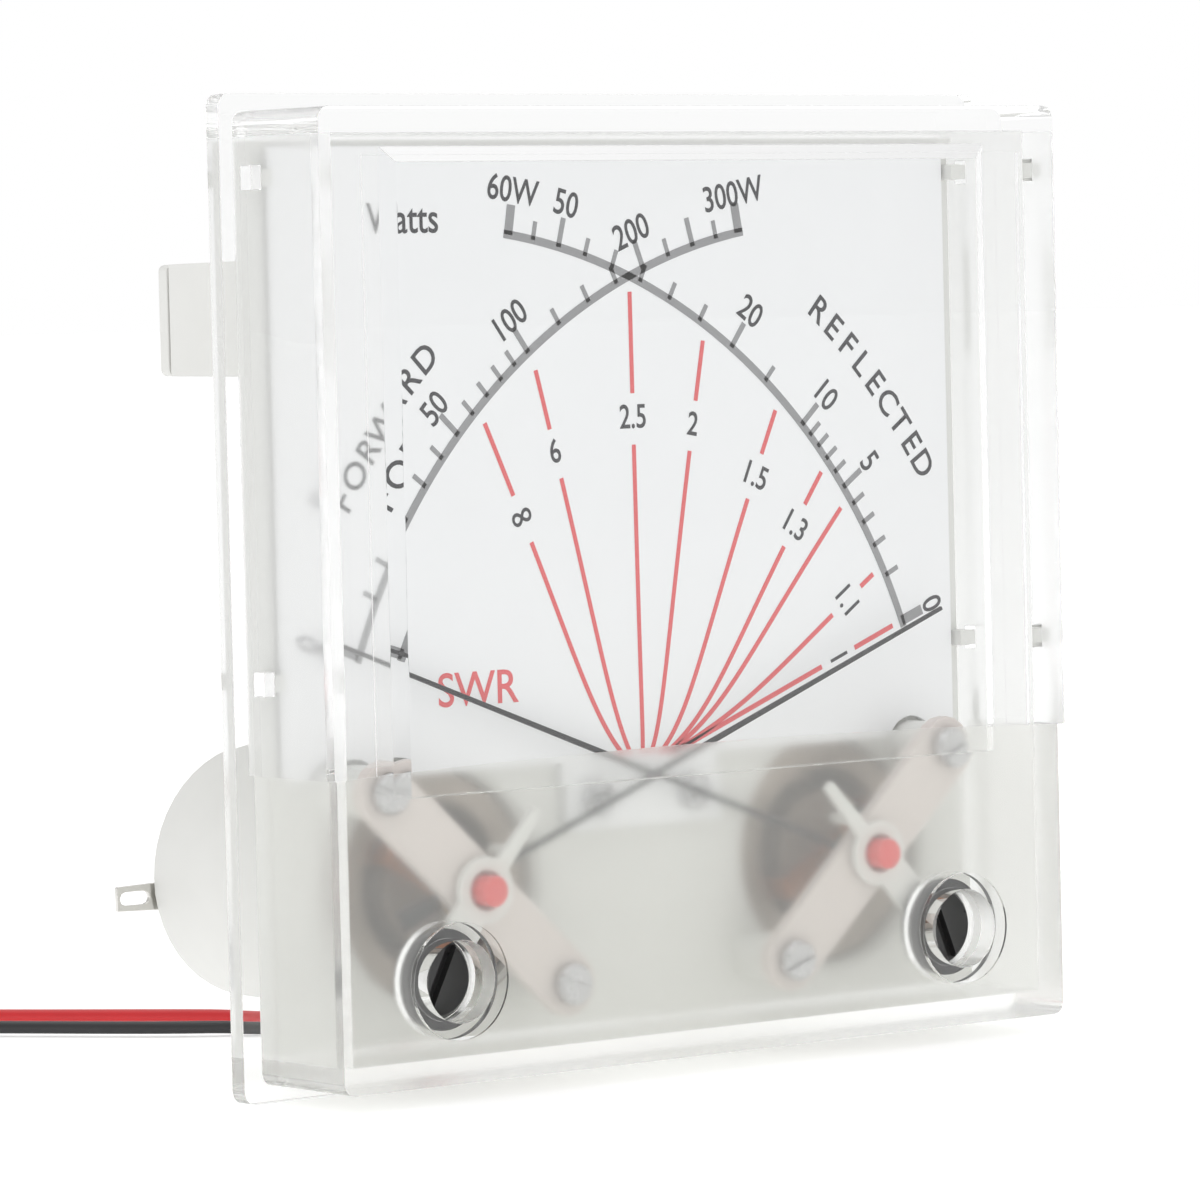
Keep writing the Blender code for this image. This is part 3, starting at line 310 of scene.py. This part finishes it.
def new_material(name):
    made = bpy.data.materials.new(name)
    made.use_nodes = True
    return made, made.node_tree.nodes, made.node_tree.links


def mottled(nodes, links, grain, low, high, detail=3.0):
    """Fine noise in the object's own space, spread between two values."""
    place = nodes.new("ShaderNodeTexCoord")
    noise = nodes.new("ShaderNodeTexNoise")
    noise.inputs["Scale"].default_value = grain
    noise.inputs["Detail"].default_value = detail
    spread = nodes.new("ShaderNodeMapRange")
    spread.inputs["To Min"].default_value = low
    spread.inputs["To Max"].default_value = high
    links.new(place.outputs["Object"], noise.inputs["Vector"])
    links.new(noise.outputs["Fac"], spread.inputs["Value"])
    return spread.outputs["Result"]


def add_bump(nodes, links, shader, height, strength):
    relief = nodes.new("ShaderNodeBump")
    relief.inputs["Strength"].default_value = strength
    relief.inputs["Distance"].default_value = BUMP_DEPTH * MM
    links.new(height, relief.inputs["Height"])
    links.new(relief.outputs["Normal"], shader.inputs["Normal"])


def surface(name, colour, roughness, metallic=0.0, grain=600.0, bump=0.05, tone=0.06, coat=0.0):
    """A solid finish: its colour and roughness vary a little, over a fine bump."""
    made, nodes, links = new_material(name)
    shader = nodes["Principled BSDF"]
    shader.inputs["Metallic"].default_value = metallic
    shader.inputs["Coat Weight"].default_value = coat
    roughnesses = roughness * (1 - ROUGHNESS_SPREAD), roughness * (1 + ROUGHNESS_SPREAD)
    links.new(mottled(nodes, links, grain, *roughnesses), shader.inputs["Roughness"])
    blend = nodes.new("ShaderNodeMix")
    blend.data_type = "RGBA"
    blend.inputs["A"].default_value = (*[c * (1 - tone) for c in colour], 1)
    blend.inputs["B"].default_value = (*[min(1, c * (1 + tone)) for c in colour], 1)
    links.new(mottled(nodes, links, grain * TONE_GRAIN_SHARE, 0.0, 1.0), blend.inputs["Factor"])
    links.new(blend.outputs["Result"], shader.inputs["Base Color"])
    add_bump(nodes, links, shader,
             mottled(nodes, links, grain * BUMP_GRAIN_SHARE, 0.0, 1.0, BUMP_DETAIL), bump)
    return made


def clear(name, colour, roughness, ior=1.49, ripple=0.0, veil=0.0):
    """Clear plastic or glass that lamps shine straight through. A veil is a white haze on its surface."""
    made, nodes, links = new_material(name)
    shader = nodes["Principled BSDF"]
    shader.inputs["Base Color"].default_value = (*colour, 1)
    shader.inputs["Transmission Weight"].default_value = 1.0 - veil
    shader.inputs["IOR"].default_value = ior
    if roughness < POLISHED_BELOW:
        shader.inputs["Roughness"].default_value = roughness
    else:
        roughnesses = roughness * (1 - HAZE_SPREAD), roughness * (1 + HAZE_SPREAD)
        links.new(mottled(nodes, links, HAZE_GRAIN, *roughnesses), shader.inputs["Roughness"])
    if ripple:
        add_bump(nodes, links, shader, mottled(nodes, links, RIPPLE_GRAIN, 0.0, 1.0), ripple)
    path = nodes.new("ShaderNodeLightPath")
    either = nodes.new("ShaderNodeMath")
    either.operation = "MAXIMUM"
    through = nodes.new("ShaderNodeBsdfTransparent")
    through.inputs["Color"].default_value = (*colour, 1)
    mix = nodes.new("ShaderNodeMixShader")
    links.new(path.outputs["Is Shadow Ray"], either.inputs[0])
    links.new(path.outputs["Is Diffuse Ray"], either.inputs[1])
    links.new(either.outputs["Value"], mix.inputs["Fac"])
    links.new(shader.outputs["BSDF"], mix.inputs[1])
    links.new(through.outputs["BSDF"], mix.inputs[2])
    links.new(mix.outputs["Shader"], nodes["Material Output"].inputs["Surface"])
    return made


def make_materials():
    """Every finish by its name, with its colour, roughness and, on some, how metallic it is."""
    return {
        "clear_acrylic": clear("clear_acrylic", (0.957, 0.96, 0.957), 0.0, ripple=0.02),
        "hazed_acrylic": clear("hazed_acrylic", (0.92, 0.92, 0.915), 0.24, veil=0.3),
        "hazed_margin": clear("hazed_margin", (0.935, 0.935, 0.93), 0.12, veil=0.2),
        "frosted_acrylic": clear("frosted_acrylic", (0.915, 0.918, 0.892), 0.24, veil=0.15),
        "lamp_glass": clear("lamp_glass", (0.98, 0.98, 0.97), 0.02, ior=1.5),
        "white_plastic": surface("white_plastic", (0.77, 0.77, 0.745), 0.42, tone=0.03),
        "dial_white": surface("dial_white", (0.93, 0.935, 0.95), 0.6, tone=0.01, bump=0.02),
        "black_plastic": surface("black_plastic", (0.018, 0.018, 0.018), 0.3, tone=0.25),
        "needle_black": surface("needle_black", (0.02, 0.02, 0.022), 0.5, tone=0.2),
        "magnet": surface("magnet", (0.30, 0.245, 0.205), 0.5, 0.5, tone=0.2, bump=0.2),
        "iron": surface("iron", (0.42, 0.36, 0.31), 0.45, 0.6, tone=0.2, bump=0.15),
        "cream_bridge": surface("cream_bridge", (0.73, 0.665, 0.635), 0.4, tone=0.03),
        "copper": surface("copper", (0.72, 0.30, 0.13), 0.35, 0.9, grain=2500, tone=0.15, bump=0.2),
        "bronze": surface("bronze", (0.66, 0.48, 0.26), 0.3, 1.0, tone=0.08),
        "red_seal": surface("red_seal", (0.82, 0.05, 0.045), 0.3, tone=0.12, coat=0.3),
        "steel": surface("steel", (0.60, 0.60, 0.61), 0.28, 1.0, tone=0.05),
        "tinned": surface("tinned", (0.74, 0.73, 0.70), 0.25, 1.0, tone=0.08, bump=0.15),
        "board": surface("board", (0.50, 0.36, 0.17), 0.55, tone=0.12),
        "rubber": surface("rubber", (0.025, 0.025, 0.025), 0.65, tone=0.2, bump=0.15),
        "red_pvc": surface("red_pvc", (0.62, 0.02, 0.025), 0.35, tone=0.06),
        "black_pvc": surface("black_pvc", (0.02, 0.02, 0.022), 0.35, tone=0.15),
        "grey_ink": surface("grey_ink", (0.30, 0.30, 0.31), 0.6, tone=0.04, bump=0.02),
        "black_ink": surface("black_ink", (0.035, 0.035, 0.04), 0.6, tone=0.1, bump=0.02),
        "red_ink": surface("red_ink", (0.80, 0.12, 0.13), 0.6, tone=0.04, bump=0.02),
    }


# Pieces from CAD nodes

def merged_copy(node):
    """A CAD node's mesh with its flat faces whole again."""
    bm = bmesh.new()
    bm.from_mesh(NODES[node].data)
    bmesh.ops.remove_doubles(bm, verts=bm.verts, dist=MERGE_GAP * MM)
    bmesh.ops.dissolve_limit(bm, angle_limit=FLAT_WITHIN, verts=bm.verts, edges=bm.edges)
    return bm


def weigh_edges(bm, edge):
    """Mark the sharp edges for rounding, with less on those of a narrow face."""
    layer = bm.edges.layers.float.new("bevel_weight_edge")
    for line in bm.edges:
        if len(line.link_faces) == 2 and line.calc_face_angle(0) > SHARP_ABOVE:
            narrow = min(2 * face.calc_area() / face.calc_perimeter() for face in line.link_faces)
            line[layer] = min(1.0, NARROW_SHARE * narrow / (edge * MM))


def stand_for(node, bm, looks, edge, segments=2):
    """A piece with rounded edges that stands for a CAD node and rides where it does."""
    weigh_edges(bm, edge)
    mesh = bpy.data.meshes.new(f"{node}_finished")
    bm.to_mesh(mesh)
    bm.free()
    for look in looks:
        mesh.materials.append(materials[look])
    mesh.shade_smooth()
    piece = bpy.data.objects.new(mesh.name, mesh)
    bpy.context.scene.collection.objects.link(piece)
    rounding = piece.modifiers.new("rounding", "BEVEL")
    rounding.width = edge * MM
    rounding.segments = segments
    rounding.limit_method = "WEIGHT"
    rounding.face_strength_mode = "FSTR_ALL"
    levelling = piece.modifiers.new("levelling", "WEIGHTED_NORMAL")
    levelling.keep_sharp = True
    levelling.weight = 100
    levelling.use_face_influence = True
    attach(piece, NODES[node]["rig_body"])
    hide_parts(node)


def frost_line(x):
    """Height of the line where the frosted part starts."""
    return FROST_TOP_Z - FROST_ARCH_RISE * (x / LOWER_HALF_WIDTH) ** 2


def on_window_back(face):
    """Whether a face lies on the rear of the cover's window, around the polished recess there."""
    y = face.calc_center_median().y / MM
    return face.normal.y > FACING and abs(y - WINDOW_BACK_Y) < ON_PLANE


def on_cavity_wall(face):
    """Whether a face of the cover lies on the sides or the top of its cavity."""
    centre = face.calc_center_median() / MM
    side = abs(face.normal.x) > FACING and abs(abs(centre.x) - CAVITY_HALF_WIDTH) < ON_PLANE
    top = face.normal.z < -FACING and abs(centre.z - CAVITY_TOP_Z) < ON_PLANE
    return side or top


def on_frosted_outside(face):
    """Whether a face is on the front, a side or the underside of the cover's frosted lower part."""
    x, y, z = face.calc_center_median() / MM
    front = face.normal.y < -FACING and abs(y - FROSTED_FRONT_Y) < ON_PLANE
    side = (abs(face.normal.x) > LEANING and abs(abs(x) - LOWER_HALF_WIDTH) < NEAR_PLANE
            and z < frost_line(x))
    under = face.normal.z < -LEANING and z < -BLOCK_HALF_HEIGHT + NEAR_PLANE and y < -FLANGE_THICKNESS
    return front or side or under


def cover_look(face):
    if on_frosted_outside(face):
        return "frosted_acrylic"
    if on_cavity_wall(face):
        return "hazed_acrylic"
    if on_window_back(face) and face.calc_center_median().z / MM > FROST_TOP_Z:
        return "hazed_margin"
    return "clear_acrylic"


def make_cover():
    """The clear moulding, frosted on the outside of its lower part except on the adjusters' rings.

    Its cavity's walls are hazed, and so, more lightly, is the margin behind the window.
    """
    bm = merged_copy("front_cover")
    backs = [face for face in bm.faces if on_window_back(face)]
    around = dict.fromkeys(piece for face in backs for piece in (*face.edges, *face.verts))
    bmesh.ops.bisect_plane(bm, geom=[*backs, *around], plane_co=(0, 0, FROST_TOP_Z * MM),
                           plane_no=(0, 0, 1))
    bm.normal_update()
    for face in bm.faces:
        face.material_index = COVER_LOOKS.index(cover_look(face))
    stand_for("front_cover", bm, COVER_LOOKS, COVER_EDGE, COVER_EDGE_SEGMENTS)


def make_finished_nodes():
    """All the other CAD nodes, each with its own slot's finish and its edges rounded."""
    slots = {entry["node"]: entry["material_slot"] for entry in frame["record"]["subparts"]}
    for node in sorted(NODES):
        if node == "front_cover" or node.startswith("wire_"):
            continue
        edge = next(width for word, width in ROUNDING.items() if word in node)
        stand_for(node, merged_copy(node), [slots[node]], edge)


# Dial print

def needle_angle(share, full):
    """A needle's angle in degrees. The share is the square root of the power over full scale."""
    soft = SOFT_START[full]
    return REST_DEG + SPAN_DEG[full] * (math.hypot(share, soft) - soft) / (math.hypot(1, soft) - soft)


def on_dial(side, angle_deg, radius):
    """A point on the dial, seen from the left (-1) or the right (1) pivot."""
    angle = math.radians(angle_deg)
    return side * (PIVOT_X - radius * math.cos(angle)), PIVOT_Z + radius * math.sin(angle)


def strip(bm, points, width):
    """A printed line of even width through the points."""
    rows = []
    for i, point in enumerate(points):
        before = Vector(points[max(i - 1, 0)])
        after = Vector(points[min(i + 1, len(points) - 1)])
        along = (after - before).normalized()
        across = Vector((-along.y, along.x)) * width / 2
        sides = (Vector(point) - across, Vector(point) + across)
        rows.append([bm.verts.new((p.x * MM, INK_Y * MM, p.y * MM)) for p in sides])
    for (a, b), (c, d) in zip(rows, rows[1:]):
        bm.faces.new((a, c, d, b))


def arc(bm, side, start_deg, stop_deg, radius, width):
    strip(bm, [on_dial(side, start_deg + (stop_deg - start_deg) * i / ARC_STEPS, radius)
               for i in range(ARC_STEPS + 1)], width)


def tick(bm, side, angle_deg, reach, width):
    strip(bm, [on_dial(side, angle_deg, ARC_RADIUS), on_dial(side, angle_deg, ARC_RADIUS + reach)], width)


def lettering(bm, text, place, turn_deg, height, narrow=NARROWING):
    """Plain letters on the dial, centred on place and turned counterclockwise."""
    curve = bpy.data.curves.new("letters", "FONT")
    curve.body = text
    curve.size = height / CAPITAL * MM
    curve.align_x = "CENTER"
    curve.align_y = "CENTER"
    curve.resolution_u = 4
    curve.offset = STROKE_GAIN * MM
    item = bpy.data.objects.new("letters", curve)
    bpy.context.scene.collection.objects.link(item)
    bpy.context.view_layer.update()
    mesh = bpy.data.meshes.new_from_object(item.evaluated_get(bpy.context.evaluated_depsgraph_get()))
    x, z = place
    mesh.transform(Matrix.Translation((x * MM, INK_Y * MM, z * MM))
                   @ Matrix.Rotation(math.radians(90), 4, "X")
                   @ Matrix.Rotation(math.radians(turn_deg), 4, "Z")
                   @ Matrix.Diagonal((narrow, 1, 1, 1)))
    bm.from_mesh(mesh)
    bpy.data.objects.remove(item)
    bpy.data.curves.remove(curve)


def lettering_on_arc(bm, text, side, middle_deg, radius, height, pitch):
    """Letters side by side on an arc about a pivot, reading left to right."""
    step = math.degrees(pitch / radius)
    for i, letter in enumerate(text):
        angle = middle_deg + side * step * (i - (len(text) - 1) / 2)
        lettering(bm, letter, on_dial(side, angle, radius), side * (90 - angle), height, 1.0)


def scale(ink, words, side, full, number_reach, small, numbered):
    """One power scale: its arc, small ticks, longer ticks and the numbers on them."""
    arc(ink, side, REST_DEG - ARC_BEFORE_ZERO_DEG, REST_DEG + SPAN_DEG[full] + ARC_PAST_FULL_DEG,
        ARC_RADIUS, ARC_WIDTH)
    for watts in small:
        tick(ink, side, needle_angle(math.sqrt(watts / full), full), *SMALL_TICK)
    for watts, number in numbered:
        angle = needle_angle(math.sqrt(watts / full), full)
        tick(ink, side, angle, *(END_TICK if watts in (0, full) else NUMBERED_TICK))
        if number:
            place = on_dial(side, angle, ARC_RADIUS + number_reach)
            lettering(words, number, place, side * (90 - angle), NUMBER_HEIGHT)


def fan_line(swr):
    """Where the needles cross at one SWR, from the foot of the fan out to the arcs."""
    ratio = 1.0 if swr is None else (swr - 1) / (swr + 1)
    points = []
    for i in range(1, FAN_STEPS + 1):
        share = FAN_LAST_SHARE * i / FAN_STEPS
        forward = math.tan(math.radians(needle_angle(share, FULL_FORWARD)))
        back = ratio * share * math.sqrt(FULL_FORWARD / FULL_REFLECTED)
        reflected = math.tan(math.radians(needle_angle(back, FULL_REFLECTED)))
        x = PIVOT_X * (forward - reflected) / (forward + reflected)
        z = PIVOT_Z + (x + PIVOT_X) * reflected
        if max(math.hypot(x + PIVOT_X, z - PIVOT_Z), math.hypot(x - PIVOT_X, z - PIVOT_Z)) > FAN_REACH:
            break
        if z > FAN_FOOT_Z:
            points.append((x, z))
    return points


def print_swr_line(ink, words, swr, label, height):
    """One line of the fan, broken where its label stands on it."""
    points = fan_line(swr)
    if not label:
        strip(ink, points, SWR_LINE_WIDTH)
        return
    middle = min(range(len(points)), key=lambda i: abs(points[i][1] - height))
    centre = Vector(points[middle])
    lower = [p for p in points[:middle] if (Vector(p) - centre).length > SWR_LABEL_GAP]
    upper = [p for p in points[middle:] if (Vector(p) - centre).length > SWR_LABEL_GAP]
    for part in (lower, upper):
        if len(part) > 1:
            strip(ink, part, SWR_LINE_WIDTH)
    after = Vector(points[min(middle + FAN_HEADING_POINTS, len(points) - 1)])
    ahead = (after - Vector(points[middle - FAN_HEADING_POINTS])).normalized()
    lettering(words, label, centre, math.degrees(math.atan2(ahead.y, ahead.x)) - 90, SWR_LABEL_HEIGHT)


def printed(name, bm, ink):
    mesh = bpy.data.meshes.new(name)
    bm.to_mesh(mesh)
    bm.free()
    mesh.materials.append(materials[ink])
    piece = bpy.data.objects.new(name, mesh)
    bpy.context.scene.collection.objects.link(piece)
    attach(piece, "case")


def make_dial_print():
    grey, black, red = bmesh.new(), bmesh.new(), bmesh.new()
    scale(grey, black, -1, FULL_REFLECTED, REFLECTED_NUMBER_REACH, REFLECTED_TICKS, REFLECTED_NUMBERS)
    scale(grey, black, 1, FULL_FORWARD, FORWARD_NUMBER_REACH, FORWARD_TICKS, FORWARD_NUMBERS)
    lettering(black, "Watts", (-22.8, 29.4), turn_deg=0, height=2.5)
    lettering_on_arc(black, "REFLECTED", -1, middle_deg=39.9, radius=60.4, height=2.2, pitch=2.15)
    lettering_on_arc(black, "FORWARD", 1, middle_deg=38.6, radius=58.7, height=2.2, pitch=2.35)
    lettering(red, "SWR", (-16.4, -8.1), turn_deg=0, height=2.8, narrow=1.0)
    for swr, label, height in SWR_LINES:
        print_swr_line(red, black, swr, label, height)
    printed("dial_print_scales", grey, "grey_ink")
    printed("dial_print_words", black, "black_ink")
    printed("dial_print_fan", red, "red_ink")


# Stage

def make_floor():
    bm = bmesh.new()
    bmesh.ops.create_circle(bm, cap_ends=True, segments=96, radius=FLOOR_RADIUS_M)
    mesh = bpy.data.meshes.new("floor")
    bm.to_mesh(mesh)
    bm.free()
    floor = bpy.data.objects.new("floor", mesh)
    bpy.context.scene.collection.objects.link(floor)
    floor.location.z = (FLOOR_Z - FLOOR_DROP) * MM
    made, nodes, _ = new_material("floor")
    shader = nodes["Principled BSDF"]
    shader.inputs["Base Color"].default_value = (0.9, 0.9, 0.9, 1)
    shader.inputs["Roughness"].default_value = 0.9
    shader.inputs["Emission Color"].default_value = (1, 1, 1, 1)
    shader.inputs["Emission Strength"].default_value = 0.35
    mesh.materials.append(made)


def make_world():
    """A white room: bright at the horizon and overhead, darker between them so that edges show."""
    world = bpy.data.worlds.new("studio")
    bpy.context.scene.world = world
    world.use_nodes = True
    nodes, links = world.node_tree.nodes, world.node_tree.links
    place = nodes.new("ShaderNodeTexCoord")
    parts = nodes.new("ShaderNodeSeparateXYZ")
    ramp = nodes.new("ShaderNodeValToRGB")
    links.new(place.outputs["Generated"], parts.inputs["Vector"])
    links.new(parts.outputs["Z"], ramp.inputs["Fac"])
    stops = ramp.color_ramp.elements
    for stop, (position, shade) in zip(stops, SKY_ENDS):
        stop.position = position
        stop.color = (shade, shade, shade, 1)
    for position, shade in SKY_BETWEEN:
        stops.new(position).color = (shade, shade, shade, 1)
    links.new(ramp.outputs["Color"], nodes["Background"].inputs["Color"])
    nodes["Background"].inputs["Strength"].default_value = 1.0


def make_light(name, place, size, power):
    """A square area light that faces the origin."""
    data = bpy.data.lights.new(name, "AREA")
    data.size = size
    data.energy = power
    light = bpy.data.objects.new(name, data)
    bpy.context.scene.collection.objects.link(light)
    light.location = place
    light.rotation_euler = (-Vector(place)).to_track_quat("-Z", "Y").to_euler()


make_camera()
materials = make_materials()
make_leads()
make_cover()
make_finished_nodes()
make_dial_print()
make_floor()
make_world()
for name, (place, size, power) in LIGHTS.items():
    make_light(name, place, size, power)
bpy.context.scene.view_settings.view_transform = "Standard"
for kind in ("max_bounces", "transmission_bounces", "glossy_bounces"):
    setattr(bpy.context.scene.cycles, kind, LIGHT_BOUNCES)
